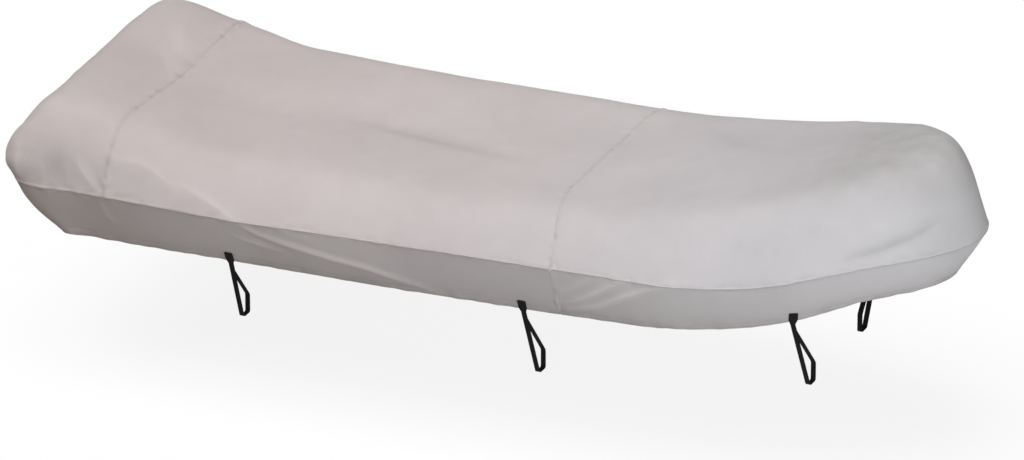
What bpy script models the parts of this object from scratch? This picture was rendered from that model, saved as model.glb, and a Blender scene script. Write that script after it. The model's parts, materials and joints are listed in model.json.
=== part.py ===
# Fitted cover for a small inflatable boat: three sewn top panels, a lower band in two
# pieces, and six webbing tie loops that pass round a trailer's side rails.
# Metres, +X towards the bow, +Z up, -Y the near side. The origin is the point under the
# middle of the top where the boat carries the cloth.

from collections import namedtuple
from math import cos, exp, hypot, pi, radians, sin, sqrt

import bmesh
import bpy
from mathutils import Vector

# --- Driving sizes -------------------------------------------------------------------
STERN_X = -0.02          # knuckle line at the stern
BOW_X = 3.922            # knuckle line at the bow
BEAM = 1.46              # over the knuckle line, at the widest
CARRY_X = 1.90           # where the origin lies along the boat
CARRY_Z = 0.818          # height of the origin above the level that the tables count from

CLOTH = 0.002            # thickness of the cloth
SEAM_GAP = 0.00034       # between two panels along their seam
STERN_CORNER = 0.15      # corner radius in plan, at the stern
STERN_BULGE = 0.062      # how far the aft tube ends push the cloth out above the knuckle
STERN_TUCK = 0.19        # how far the hem lies inside the knuckle line across the stern
STERN_TUCK_END = 0.36    # where along the side that tuck has died out
STERN_NARROW = 0.04      # the hem's narrowing across the stern, as a share of its width
SIDE_TUCK_CURVE = 1.12   # 1 is a straight band, more is one that bellies out
STERN_TUCK_CURVE = 1.8
STERN_REACH = 0.13       # from the stern edge to the level top
SIDE_RISE_CURVE = 2.9    # the long sides set off at a slant and round over late
SIDE_RISE_X = (0.50, 3.15)   # from here to here
STERN_RISE_X = 0.10      # aft of this the cloth rises in a quarter round
BOW_RISE_X = 3.65        # forward of this it rises as BOW_RISE says
BOW_START_X = 2.60       # where the side starts to curve in to the bow
BOW_HALF_BEAM = 0.69     # half beam there
BOW_FULLNESS = 1.8       # 2 is an ellipse, less is finer

STERN_SEAM_X = 0.43
MAIN_SEAM_X = 2.37
SEAM_LEAN = 0.075        # the main seam runs this far aft as it climbs to the top
SEAM_LEAN_SPAN = 0.60
SEAM_LEAN_WHOLE = 0.5    # share of the way in to the centreline where it has all its lean
SHOULDER_SHARE = 0.6     # share of the half beam where the top is at its shoulder's height
LEAST_HALF_BEAM = 0.05   # taken for that at the very bow, where the half beam runs to nothing
SPINE_AFT_X = 0.40       # the centreline that the rows of the mesh close on
SPINE_BOW_X = 3.35

STATION_STEP = 0.066     # between stations along the knuckle line
STERN_STEPS = 40         # points worked out for the stations: across half of the stern,
CORNER_POINTS = 30       # round its corner
FINE_STEPS = 200         # and along each stretch of the side
STERN_STATIONS = 12      # the first station that lies on the side, past the stern corner
SKIRT_ROWS = 3
TOP_ROWS = (0.0, 0.012, 0.042, 0.09, 0.15, 0.22, 0.30, 0.39, 0.50, 0.64, 0.81, 1.0)

PlanRow = namedtuple("PlanRow", "x half_beam")
PLAN = (
    PlanRow(-0.02, 0.715),
    PlanRow(0.50, 0.730),
    PlanRow(1.10, BEAM / 2 + 0.002),
    PlanRow(1.70, 0.727),
    PlanRow(2.20, 0.712),
    PlanRow(BOW_START_X, BOW_HALF_BEAM),
)

# Heights along the side: the knuckle line, the hem, how far the hem tucks in under the
# knuckle, and how far the rounded shoulder reaches in over the tube.
SideRow = namedtuple("SideRow", "x knuckle_z hem_z tuck reach")
SIDE = (
    SideRow(-0.08, 0.590, 0.388, 0.060, 0.20),
    SideRow(0.10, 0.608, 0.413, 0.060, 0.22),
    SideRow(0.45, 0.625, 0.399, 0.095, 0.26),
    SideRow(1.00, 0.630, 0.408, 0.100, 0.28),
    SideRow(1.60, 0.648, 0.416, 0.100, 0.30),
    SideRow(2.00, 0.658, 0.423, 0.100, 0.30),
    SideRow(2.40, 0.661, 0.428, 0.100, 0.30),
    SideRow(2.80, 0.665, 0.438, 0.100, 0.30),
    SideRow(3.00, 0.671, 0.460, 0.100, 0.30),
    SideRow(3.20, 0.692, 0.492, 0.100, 0.29),
    SideRow(3.40, 0.738, 0.540, 0.105, 0.28),
    SideRow(3.60, 0.780, 0.588, 0.110, 0.26),
    SideRow(3.93, 0.800, 0.615, 0.115, 0.26),
)

# Height of the top: over the tubes and along the middle. The hump is the transom.
TopRow = namedtuple("TopRow", "x shoulder_z centre_z")
TOP = (
    TopRow(-0.08, 0.782, 0.826),
    TopRow(0.00, 0.860, 0.898),
    TopRow(0.10, 0.934, 0.920),
    TopRow(0.20, 0.946, 0.926),
    TopRow(0.30, 0.929, 0.914),
    TopRow(0.43, 0.896, 0.886),
    TopRow(0.56, 0.866, 0.856),
    TopRow(0.70, 0.834, 0.829),
    TopRow(0.85, 0.834, 0.827),
    TopRow(1.00, 0.832, 0.826),
    TopRow(1.60, 0.829, 0.822),
    TopRow(2.00, 0.837, 0.833),
    TopRow(2.30, 0.848, 0.853),
    TopRow(2.60, 0.878, 0.893),
    TopRow(3.00, 0.955, 0.975),
    TopRow(3.40, 1.075, 1.095),
    TopRow(3.70, 1.150, 1.160),
    TopRow(3.90, 1.164, 1.164),
)

# The rise from the knuckle line to the top round the bow, as a share of the reach inwards
# and of the height: a straight slope up to a tight shoulder.
RiseRow = namedtuple("RiseRow", "x rise")
BOW_RISE = (
    RiseRow(0.00, 0.00),
    RiseRow(0.08, 0.19),
    RiseRow(0.15, 0.37),
    RiseRow(0.22, 0.54),
    RiseRow(0.32, 0.73),
    RiseRow(0.45, 0.88),
    RiseRow(0.62, 0.96),
    RiseRow(0.80, 1.00),
    RiseRow(1.00, 1.00),
)

# Folds: a soft ridge (or a trough, with a negative height) along the line from one point
# to the other. Near side first, then the top, then the far side.
FOLD_FADE = 3            # widths from its line at which a fold has died out
Fold = namedtuple("Fold", "start end width height")
FOLDS = (
    Fold((0.46, -0.665, 0.765), (0.81, -0.70, 0.700), 0.055, 0.010),
    Fold((0.81, -0.70, 0.700), (0.95, -0.73, 0.650), 0.050, 0.008),
    Fold((0.20, -0.72, 0.740), (0.30, -0.72, 0.660), 0.060, -0.010),
    Fold((1.02, -0.73, 0.615), (1.69, -0.66, 0.490), 0.045, 0.010),
    Fold((2.40, -0.64, 0.500), (2.66, -0.68, 0.630), 0.040, 0.009),
    Fold((2.50, -0.635, 0.500), (2.85, -0.675, 0.660), 0.040, 0.010),
    Fold((3.75, -0.30, 0.900), (3.30, -0.57, 0.715), 0.050, 0.008),
    Fold((0.42, -0.05, 0.880), (1.20, 0.00, 0.824), 0.160, -0.014),
    Fold((1.20, 0.00, 0.824), (1.90, -0.11, 0.830), 0.150, -0.012),
    Fold((0.17, 0.14, 0.900), (0.36, 0.08, 0.890), 0.110, -0.018),
    Fold((0.42, 0.63, 0.824), (0.70, 0.53, 0.829), 0.060, 0.010),
    Fold((2.28, 0.02, 0.850), (2.36, 0.38, 0.856), 0.070, -0.006),
    Fold((0.55, 0.68, 0.740), (0.90, 0.72, 0.660), 0.055, 0.009),
    Fold((1.35, 0.72, 0.600), (1.85, 0.66, 0.500), 0.045, 0.009),
    Fold((2.55, 0.63, 0.500), (2.80, 0.67, 0.640), 0.040, 0.010),
    Fold((3.70, 0.34, 0.880), (3.38, 0.52, 0.740), 0.050, 0.007),
)

# Tie loops: webbing sewn to the hem by a tab, round a rail that isn't part of the cover.
WEBBING = 0.022
WEBBING_THICKNESS = 0.002
TAB_WIDTH = 0.036
TAB_HEIGHT = 0.046
TAB_SHOULDER = 0.008     # below this height over the hem the tab narrows to the neck
TAB_CLEARANCE = 0.0003
TAB_MARGIN = 0.3         # share of a facet's length that a tab keeps off its ends
NECK_DROP = 0.020        # from the hem to where the webbing turns in
SPLIT_DROP = 0.036       # from the neck to where the two legs part
RAIL_WIDTH = 0.052
RAIL_HEIGHT = 0.078
LOOP_CORNER = 0.010
CORNER_STEPS = 3

# Where each is sewn, how far its loop reaches down below the neck and in from it.
Strap = namedtuple("Strap", "name x drop loop_in")
STRAPS = (
    Strap("aft", 0.966, 0.272, 0.095),
    Strap("mid", 2.22, 0.323, 0.140),
    Strap("bow", 3.31, 0.335, 0.168),
)

GREY = (0.55, 0.51, 0.50, 1.0)
BAND_GREY = (0.50, 0.46, 0.45, 1.0)
BLACK = (0.012, 0.012, 0.013, 1.0)
CANVAS_ROUGHNESS = 0.9
WEBBING_ROUGHNESS = 0.8
SHARP_ANGLE = radians(40)


# --- Curves through the tables -------------------------------------------------------
def smooth(table, name, x):
    # A curve through a table's rows, level with the neighbours' slope at each row.
    rows = [(row.x, getattr(row, name)) for row in table]
    x = min(max(x, rows[0][0]), rows[-1][0])
    last = len(rows) - 1
    i = 0
    while i < last - 1 and x > rows[i + 1][0]:
        i += 1

    def slope(k):
        low = max(k - 1, 0)
        high = min(k + 1, last)
        return (rows[high][1] - rows[low][1]) / (rows[high][0] - rows[low][0])

    step = rows[i + 1][0] - rows[i][0]
    u = (x - rows[i][0]) / step
    rise = u * u * (3 - 2 * u)
    leave = u * (1 - u) * (1 - u) * step * slope(i)
    arrive = u * u * (u - 1) * step * slope(i + 1)
    return rows[i][1] + (rows[i + 1][1] - rows[i][1]) * rise + leave + arrive


def ease(u):
    u = min(max(u, 0.0), 1.0)
    return u * u * (3 - 2 * u)


def half_beam(x):
    if x <= BOW_START_X:
        return smooth(PLAN, "half_beam", x)
    u = min((x - BOW_START_X) / (BOW_X - BOW_START_X), 1.0)
    return BOW_HALF_BEAM * (1 - u * u) ** (1 / BOW_FULLNESS)


# --- The knuckle line in plan --------------------------------------------------------
def plan_curve():
    # Half of the knuckle line, from the middle of the stern to the bow, as fine points.
    square = half_beam(STERN_X) - STERN_CORNER
    points = [(STERN_X, square * k / STERN_STEPS) for k in range(STERN_STEPS + 1)]
    for k in range(1, CORNER_POINTS + 1):
        a = radians(90 * k / CORNER_POINTS)
        points.append((STERN_X + STERN_CORNER * (1 - cos(a)), square + STERN_CORNER * sin(a)))
    side_start = STERN_X + STERN_CORNER
    for k in range(1, FINE_STEPS + 1):
        x = side_start + (BOW_START_X - side_start) * k / FINE_STEPS
        points.append((x, half_beam(x)))
    for k in range(1, FINE_STEPS + 1):
        x = BOW_START_X + (BOW_X - BOW_START_X) * sin(radians(90 * k / FINE_STEPS))
        points.append((x, half_beam(x)))
    return points


def stations(points, seams):
    # Even stations along the half line, with one on each seam. Returns the (x, y) of each
    # and the number of the station on each seam.
    run = [0.0]
    for a, b in zip(points, points[1:]):
        run.append(run[-1] + hypot(b[0] - a[0], b[1] - a[1]))
    marks = [0.0]
    for seam in seams:
        marks.append(next(r for r, p in zip(run, points) if p[0] >= seam))
    marks.append(run[-1])
    places = []
    seam_numbers = []
    for low, high in zip(marks, marks[1:]):
        count = round((high - low) / STATION_STEP)
        places += [low + (high - low) * k / count for k in range(count)]
        seam_numbers.append(len(places))
    places.append(run[-1])
    out = []
    i = 0
    for place in places:
        while i < len(run) - 2 and run[i + 1] < place:
            i += 1
        u = (place - run[i]) / (run[i + 1] - run[i])
        a, b = points[i], points[i + 1]
        out.append((a[0] + (b[0] - a[0]) * u, a[1] + (b[1] - a[1]) * u))
    return out, seam_numbers[:-1]


# --- The surface ---------------------------------------------------------------------
def fold_height(p):
    # The sum of the folds at a point, each fading across its width and at its ends.
    total = 0.0
    for fold in FOLDS:
        start = Vector(fold.start)
        line = Vector(fold.end) - start
        along = (p - start).dot(line) / line.length_squared
        nearest = start + line * min(max(along, 0.0), 1.0)
        across = (p - nearest).length / fold.width
        if across < FOLD_FADE:
            total += fold.height * exp(-across * across)
    return total


def spoke(x, y, side):
    # One line of points up from the hem, over the knuckle and in to the centreline, at a
    # place on the knuckle line. side is -1 for the near half and +1 for the far half.
    centre_x = min(max(x, SPINE_AFT_X), SPINE_BOW_X)
    inward = Vector((centre_x - x, -y))
    way = inward.length
    inward.normalize()
    aft = ease((STERN_X + STERN_CORNER - x) / STERN_CORNER)
    knuckle_z = smooth(SIDE, "knuckle_z", x)
    hem_z = smooth(SIDE, "hem_z", x)
    reach = smooth(SIDE, "reach", x) * (1 - aft) + STERN_REACH * aft
    bulge = STERN_BULGE * aft
    tuck_in = inward * smooth(SIDE, "tuck", x)
    stern_share = 1 - ease((x - STERN_RISE_X) / (SIDE_RISE_X[0] - STERN_RISE_X))
    bow_share = ease((x - SIDE_RISE_X[1]) / (BOW_RISE_X - SIDE_RISE_X[1]))
    under = ease((STERN_TUCK_END - x) / (STERN_TUCK_END - STERN_X))
    tuck_in = tuck_in.lerp(Vector((STERN_TUCK, -STERN_NARROW * y)), under)
    tuck_curve = SIDE_TUCK_CURVE + (STERN_TUCK_CURVE - SIDE_TUCK_CURVE) * under
    points = []
    for k in range(SKIRT_ROWS):
        up = k / SKIRT_ROWS
        inset = tuck_in * (1 - up) ** tuck_curve
        points.append((x + inset.x, y + inset.y, hem_z + (knuckle_z - hem_z) * up))
    for row in TOP_ROWS:
        inset = way * row
        left = 1 - min(inset / reach, 1.0)
        rise = (1 - left ** SIDE_RISE_CURVE) * (1 - stern_share - bow_share)
        rise += sqrt(1 - left * left) * stern_share
        rise += smooth(BOW_RISE, "rise", 1 - left) * bow_share
        inset -= bulge * sin(pi * sqrt(rise))
        px = x + inward.x * inset
        py = y + inward.y * inset
        px -= SEAM_LEAN * ease(row / SEAM_LEAN_WHOLE) * ease(1 - abs(x - MAIN_SEAM_X) / SEAM_LEAN_SPAN)
        across = ease(min(abs(py) / max(half_beam(px), LEAST_HALF_BEAM) / SHOULDER_SHARE, 1.0))
        level = smooth(TOP, "shoulder_z", px) * across + smooth(TOP, "centre_z", px) * (1 - across)
        points.append((px, py, knuckle_z + (level - knuckle_z) * rise))
    return [Vector((px, side * py, pz)) for px, py, pz in points]


def full_grid():
    # Every spoke, near half then far half, from the stern to the bow; the folds are put in
    # along the surface's own normals.
    places, seams = stations(plan_curve(), (STERN_SEAM_X, MAIN_SEAM_X))
    grid = {side: [spoke(x, y, side) for x, y in places] for side in (-1, 1)}
    normals = grid_normals(grid)
    for side in (-1, 1):
        for points, ups in zip(grid[side], normals[side]):
            for k, up in enumerate(ups):
                points[k] = points[k] + up * fold_height(points[k])
    return grid, grid_normals(grid), seams


def grid_normals(grid):
    # Outward normals of the whole surface, averaged where spokes meet on the centreline.
    mesh = bmesh.new()
    numbers = {}
    shared = {}
    for side in (-1, 1):
        for i, points in enumerate(grid[side]):
            for k, p in enumerate(points):
                key = (round(p.x, 5), round(p.y, 5), round(p.z, 5))
                if key not in shared:
                    shared[key] = mesh.verts.new(p)
                numbers[side, i, k] = shared[key]
        for i in range(len(grid[side]) - 1):
            for k in range(len(grid[side][i]) - 1):
                corners = [numbers[side, i, k], numbers[side, i + 1, k],
                           numbers[side, i + 1, k + 1], numbers[side, i, k + 1]]
                add_face(mesh, corners if side < 0 else corners[::-1])
    mesh.normal_update()
    normals = {side: [[numbers[side, i, k].normal.copy() for k in range(len(points))]
                      for i, points in enumerate(grid[side])] for side in (-1, 1)}
    mesh.free()
    return normals


def add_face(mesh, corners):
    # A face without the corners that fall together.
    kept = []
    for corner in corners:
        if corner not in kept:
            kept.append(corner)
    if len(kept) > 2:
        mesh.faces.new(kept)


# --- Panels --------------------------------------------------------------------------
def panel_mesh(name, strips):
    # A closed sheet CLOTH thick. strips is a list of (columns, turned): the columns are
    # lists of (outer point, normal), side by side, and all strips are joined where their
    # points meet.
    mesh = bmesh.new()
    outer = {}
    inner = {}

    def corner(point, normal):
        key = (round(point.x, 5), round(point.y, 5), round(point.z, 5))
        if key not in outer:
            outer[key] = mesh.verts.new(place(point))
            inner[key] = mesh.verts.new(place(point - normal * CLOTH))
        return key

    for columns, turned in strips:
        keys = [[corner(point, normal) for point, normal in column] for column in columns]
        for left, right in zip(keys, keys[1:]):
            for k in range(len(left) - 1):
                loop = [left[k], right[k], right[k + 1], left[k + 1]]
                if turned:
                    loop.reverse()
                add_face(mesh, [outer[key] for key in loop])
                add_face(mesh, [inner[key] for key in reversed(loop)])
    partner = {outer[key]: inner[key] for key in outer}
    rim = [edge for edge in mesh.edges if edge.is_boundary and edge.verts[0] in partner]
    for edge in rim:
        loop = edge.link_loops[0]
        first = loop.vert
        second = loop.link_loop_next.vert
        mesh.faces.new((second, first, partner[first], partner[second]))
    bmesh.ops.triangulate(mesh, faces=mesh.faces)
    data = bpy.data.meshes.new(name)
    mesh.to_mesh(data)
    mesh.free()
    return data


def place(point):
    return Vector((point.x - CARRY_X, point.y, point.z - CARRY_Z))


def cut_columns(grid, normals, side, first, last, rows):
    # The columns of one half between two stations and two rows, each cut edge drawn back
    # by half the seam gap.
    spokes = grid[side]
    columns = []
    for i in range(first, last + 1):
        column = []
        for k in range(rows[0], rows[1] + 1):
            point = spokes[i][k]
            if i == first and first > 0:
                point = point + (spokes[i + 1][k] - point).normalized() * (SEAM_GAP / 2)
            if i == last and last < len(spokes) - 1:
                point = point + (spokes[i - 1][k] - point).normalized() * (SEAM_GAP / 2)
            if k == rows[0] and k > 0:
                point = point + (spokes[i][k + 1] - spokes[i][k]).normalized() * (SEAM_GAP / 2)
            if k == rows[1] and k == SKIRT_ROWS:
                point = point + (spokes[i][k - 1] - spokes[i][k]).normalized() * (SEAM_GAP / 2)
            column.append((point, normals[side][i][k]))
        columns.append(column)
    return columns


# --- Tie loops -----------------------------------------------------------------------
def hem_facet(grid, side, x):
    # The flat of the band nearest a place along the hem: the middle of its hem line, lifted
    # to its proudest corner, its outward normal, its level direction and its slope upwards.
    spokes = grid[side]

    def far_from_x(n):
        return abs((spokes[n][0].x + spokes[n + 1][0].x) / 2 - x)

    i = min(range(STERN_STATIONS, len(spokes) - 1), key=far_from_x)
    low_a, low_b = spokes[i][0], spokes[i + 1][0]
    share = (x - low_a.x) / (low_b.x - low_a.x)
    middle = low_a.lerp(low_b, min(max(share, TAB_MARGIN), 1 - TAB_MARGIN))
    high = spokes[i][1].lerp(spokes[i + 1][1], 0.5)
    normal = (low_b - low_a).cross(high - low_a.lerp(low_b, 0.5)).normalized()
    if normal.y * side < 0:
        normal.negate()
    level = Vector((normal.y, -normal.x, 0)).normalized()
    if level.x < 0:
        level.negate()
    up = normal.cross(level)
    if up.z < 0:
        up.negate()
    proud = max((corner - middle).dot(normal) for corner in spokes[i][:2] + spokes[i + 1][:2])
    return middle + normal * proud, normal, level, up


def rounded(points, radius):
    # A path with each inner corner replaced by a short curved run of points.
    out = [points[0]]
    for a, b, c in zip(points, points[1:], points[2:]):
        before = b + (a - b).normalized() * radius
        after = b + (c - b).normalized() * radius
        for k in range(CORNER_STEPS + 1):
            u = k / CORNER_STEPS
            out.append(before * (1 - u) ** 2 + b * 2 * u * (1 - u) + after * u * u)
    out.append(points[-1])
    return out


def strap_profile(grid, side, strap):
    # The webbing seen along its width: the doubled tab and neck as (outer, inner, half
    # width) from the top down, then the single loop as (outer, inner, half width) from the
    # split down the front leg, under the rail and up the back leg to the split again.
    hem, out, level, up = hem_facet(grid, side, strap.x)
    across = Vector((1, 0, 0))
    inward = Vector((0, -side, 0))
    down = Vector((0, 0, -1))
    ply = WEBBING_THICKNESS
    centre = hem + out * (TAB_CLEARANCE + ply)
    neck = centre - up * NECK_DROP
    front_low = neck + inward * strap.loop_in + down * strap.drop
    lean = (front_low - neck).normalized()
    side_step = across.cross(lean).normalized() * ply
    if side_step.dot(inward) > 0:
        side_step.negate()
    split = neck + lean * SPLIT_DROP
    wide = level * (TAB_WIDTH / 2)
    narrow = across * (WEBBING / 2)
    tab = [
        (centre + up * TAB_HEIGHT + out * ply, centre + up * TAB_HEIGHT - out * ply, wide),
        (centre + up * TAB_SHOULDER + out * ply, centre + up * TAB_SHOULDER - out * ply, wide),
        (neck + out * ply, neck - out * ply, level * (WEBBING / 2)),
        (split + side_step, split - side_step, narrow),
    ]
    back_low = front_low + inward * RAIL_WIDTH
    back_high = back_low - down * RAIL_HEIGHT
    corners = [split + side_step / 2, front_low, back_low, back_high, split - side_step / 2]
    run = rounded(corners, LOOP_CORNER)
    loop = [(split + side_step, split, narrow)]
    for before, point, after in zip(run, run[1:], run[2:]):
        away = across.cross(after - before).normalized() * (ply / 2)
        if away.dot(side_step) * (after - before).dot(lean) < 0:
            away.negate()
        loop.append((point + away, point - away, narrow))
    loop.append((split - side_step, split, narrow))
    return tab, loop


def strap_mesh(name, tab, loop):
    mesh = bmesh.new()
    made = {}

    def pair(point, half):
        # The two edges of the webbing at a point of its profile.
        key = (round(point.x, 6), round(point.y, 6), round(point.z, 6))
        if key not in made:
            made[key] = (mesh.verts.new(place(point + half)), mesh.verts.new(place(point - half)))
        return made[key]

    tab_pairs = [(pair(outer, half), pair(inner, half)) for outer, inner, half in tab]
    loop_pairs = [(pair(outer, half), pair(inner, half)) for outer, inner, half in loop]
    outline = [outer for outer, inner in tab_pairs[:-1]] + [outer for outer, inner in loop_pairs]
    outline += [inner for outer, inner in reversed(tab_pairs[:-1])]
    hole = [inner for outer, inner in loop_pairs[:-1]]
    for edge in (0, 1):
        for (o1, i1), (o2, i2) in zip(tab_pairs, tab_pairs[1:]):
            corners = [o1[edge], o2[edge], i2[edge], i1[edge]]
            if o2 is tab_pairs[-1][0]:
                corners.insert(2, loop_pairs[0][1][edge])
            mesh.faces.new(corners)
        for (o1, i1), (o2, i2) in zip(loop_pairs, loop_pairs[1:]):
            mesh.faces.new([o1[edge], o2[edge], i2[edge], i1[edge]])
    for ring in (outline, hole):
        for a, b in zip(ring, ring[1:] + ring[:1]):
            mesh.faces.new([a[0], b[0], b[1], a[1]])
    bmesh.ops.recalc_face_normals(mesh, faces=mesh.faces)
    bmesh.ops.triangulate(mesh, faces=mesh.faces)
    data = bpy.data.meshes.new(name)
    mesh.to_mesh(data)
    mesh.free()
    return data


# --- Objects -------------------------------------------------------------------------
def material(name, colour, roughness):
    made = bpy.data.materials.new(name)
    made.use_nodes = True
    shader = made.node_tree.nodes["Principled BSDF"]
    shader.inputs["Base Color"].default_value = colour
    shader.inputs["Roughness"].default_value = roughness
    shader.inputs["Metallic"].default_value = 0.0
    return made


def add_object(name, data, finish, root):
    data.materials.append(finish)
    data.shade_smooth()
    data.set_sharp_from_angle(angle=SHARP_ANGLE)
    item = bpy.data.objects.new(name, data)
    bpy.context.scene.collection.objects.link(item)
    item.parent = root
    return item


def main():
    for item in list(bpy.data.objects):
        bpy.data.objects.remove(item)
    root = bpy.data.objects.new("boat_cover", None)
    bpy.context.scene.collection.objects.link(root)

    grid, normals, (stern_seam, main_seam) = full_grid()
    bow = len(grid[-1]) - 1
    knuckle = SKIRT_ROWS
    centreline = SKIRT_ROWS + len(TOP_ROWS) - 1
    panels = (
        ("stern_panel", 0, stern_seam, (knuckle, centreline), GREY),
        ("main_panel", stern_seam, main_seam, (knuckle, centreline), GREY),
        ("bow_panel", main_seam, bow, (knuckle, centreline), GREY),
        ("aft_skirt", 0, main_seam, (0, knuckle), BAND_GREY),
        ("bow_skirt", main_seam, bow, (0, knuckle), BAND_GREY),
    )
    for name, first, last, rows, colour in panels:
        strips = [(cut_columns(grid, normals, side, first, last, rows), side > 0) for side in (-1, 1)]
        finish = material(name + "_canvas", colour, CANVAS_ROUGHNESS)
        add_object(name, panel_mesh(name, strips), finish, root)

    for side, word in ((-1, "near"), (1, "far")):
        for strap in STRAPS:
            name = "strap_" + word + "_" + strap.name
            tab, loop = strap_profile(grid, side, strap)
            finish = material(name + "_webbing", BLACK, WEBBING_ROUGHNESS)
            add_object(name, strap_mesh(name, tab, loop), finish, root)


main()
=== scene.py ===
# A fitted cover of an inflatable boat, without the boat: five pieces of canvas with felled
# seams, a lipped knuckle seam and a rolled hem, their thread, and six webbing tie loops.
# Metres, +X towards the bow, -Y the near side.
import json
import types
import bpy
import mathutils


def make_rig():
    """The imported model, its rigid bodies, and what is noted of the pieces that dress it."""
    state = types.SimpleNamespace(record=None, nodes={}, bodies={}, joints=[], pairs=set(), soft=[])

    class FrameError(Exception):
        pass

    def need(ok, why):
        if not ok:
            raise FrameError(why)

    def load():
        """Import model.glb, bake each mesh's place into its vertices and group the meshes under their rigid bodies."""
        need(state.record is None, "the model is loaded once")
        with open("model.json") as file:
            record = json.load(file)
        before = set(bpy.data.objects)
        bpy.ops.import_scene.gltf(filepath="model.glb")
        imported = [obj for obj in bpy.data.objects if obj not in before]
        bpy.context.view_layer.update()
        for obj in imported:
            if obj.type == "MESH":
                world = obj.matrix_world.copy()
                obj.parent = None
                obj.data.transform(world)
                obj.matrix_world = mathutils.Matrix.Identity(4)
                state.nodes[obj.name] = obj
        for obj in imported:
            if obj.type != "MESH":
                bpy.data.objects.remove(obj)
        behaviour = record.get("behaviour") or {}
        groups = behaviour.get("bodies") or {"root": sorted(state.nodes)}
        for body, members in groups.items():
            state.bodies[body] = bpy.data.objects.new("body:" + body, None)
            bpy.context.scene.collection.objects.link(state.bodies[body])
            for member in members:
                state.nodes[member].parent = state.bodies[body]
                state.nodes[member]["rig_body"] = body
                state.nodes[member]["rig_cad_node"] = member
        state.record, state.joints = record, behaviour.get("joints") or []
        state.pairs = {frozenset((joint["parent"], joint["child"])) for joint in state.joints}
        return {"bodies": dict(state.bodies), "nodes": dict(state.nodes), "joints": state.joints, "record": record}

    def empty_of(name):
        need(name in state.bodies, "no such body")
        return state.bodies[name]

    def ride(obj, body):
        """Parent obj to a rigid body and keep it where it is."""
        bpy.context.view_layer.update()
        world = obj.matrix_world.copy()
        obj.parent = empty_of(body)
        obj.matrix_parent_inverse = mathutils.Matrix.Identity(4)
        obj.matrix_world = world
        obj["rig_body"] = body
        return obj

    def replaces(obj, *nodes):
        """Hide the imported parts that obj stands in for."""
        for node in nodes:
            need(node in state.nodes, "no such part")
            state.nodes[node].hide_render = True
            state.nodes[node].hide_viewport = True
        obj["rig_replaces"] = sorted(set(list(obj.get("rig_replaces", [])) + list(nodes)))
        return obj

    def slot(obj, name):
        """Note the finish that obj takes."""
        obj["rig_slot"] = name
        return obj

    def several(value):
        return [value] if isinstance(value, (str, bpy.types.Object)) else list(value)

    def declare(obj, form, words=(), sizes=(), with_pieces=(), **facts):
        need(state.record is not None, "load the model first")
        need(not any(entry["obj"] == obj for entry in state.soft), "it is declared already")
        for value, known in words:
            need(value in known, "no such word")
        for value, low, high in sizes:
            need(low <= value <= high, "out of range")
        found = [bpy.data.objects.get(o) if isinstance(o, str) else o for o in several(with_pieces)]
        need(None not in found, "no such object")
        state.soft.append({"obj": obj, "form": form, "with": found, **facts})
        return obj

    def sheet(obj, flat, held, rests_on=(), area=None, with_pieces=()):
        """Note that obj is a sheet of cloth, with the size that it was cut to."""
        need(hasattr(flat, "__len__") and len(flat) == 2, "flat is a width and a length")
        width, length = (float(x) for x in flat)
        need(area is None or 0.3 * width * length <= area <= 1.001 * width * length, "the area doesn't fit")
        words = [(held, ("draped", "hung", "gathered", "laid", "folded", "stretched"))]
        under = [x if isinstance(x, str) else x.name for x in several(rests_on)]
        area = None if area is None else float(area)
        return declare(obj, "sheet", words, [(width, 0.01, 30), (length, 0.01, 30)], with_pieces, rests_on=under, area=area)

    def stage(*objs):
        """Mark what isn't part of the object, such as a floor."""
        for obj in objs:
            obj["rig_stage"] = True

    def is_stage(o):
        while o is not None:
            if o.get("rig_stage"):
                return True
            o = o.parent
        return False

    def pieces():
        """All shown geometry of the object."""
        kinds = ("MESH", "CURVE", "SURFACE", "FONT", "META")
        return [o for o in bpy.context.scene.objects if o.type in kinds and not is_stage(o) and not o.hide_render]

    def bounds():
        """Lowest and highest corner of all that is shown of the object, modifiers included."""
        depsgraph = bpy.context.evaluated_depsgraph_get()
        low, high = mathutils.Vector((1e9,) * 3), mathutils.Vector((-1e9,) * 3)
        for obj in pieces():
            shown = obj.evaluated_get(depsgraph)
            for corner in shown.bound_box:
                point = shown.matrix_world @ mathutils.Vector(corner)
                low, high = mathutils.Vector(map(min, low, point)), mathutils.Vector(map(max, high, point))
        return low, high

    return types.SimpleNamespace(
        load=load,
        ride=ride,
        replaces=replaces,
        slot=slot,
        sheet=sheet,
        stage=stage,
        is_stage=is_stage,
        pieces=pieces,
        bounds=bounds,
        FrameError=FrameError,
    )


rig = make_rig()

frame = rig.load()

import json
import math

import bmesh
import bpy
import numpy as np
from mathutils import Vector, noise
from mathutils.bvhtree import BVHTree
from mathutils.kdtree import KDTree

cadLow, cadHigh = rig.bounds()
nodes = frame["nodes"]
mm = 0.001
bpy.ops.object.select_all(action="DESELECT")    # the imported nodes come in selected


def selectOnly(*pieces):
    bpy.ops.object.select_all(action="DESELECT")
    for piece in pieces:
        piece.select_set(True)
    bpy.context.view_layer.objects.active = pieces[0]


def editAll(piece):
    selectOnly(piece)
    bpy.ops.object.mode_set(mode="EDIT")
    bpy.ops.mesh.select_all(action="SELECT")


def applyModifier(piece, kind, **settings):
    selectOnly(piece)
    modifier = piece.modifiers.new(kind.title(), kind)
    for name, value in settings.items():
        setattr(modifier, name, value)
    bpy.ops.object.modifier_apply(modifier=modifier.name)


def readArray(items, field, columns, kind=float):
    # one field of a mesh's points, faces or corners
    values = np.zeros(len(items) * columns, dtype=kind)
    items.foreach_get(field, values)
    return values.reshape(-1, columns) if columns > 1 else values


def markPoints(item, name, values):
    marks = item.data.attributes.new(name, "FLOAT", "POINT")
    marks.data.foreach_set("value", values)


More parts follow.
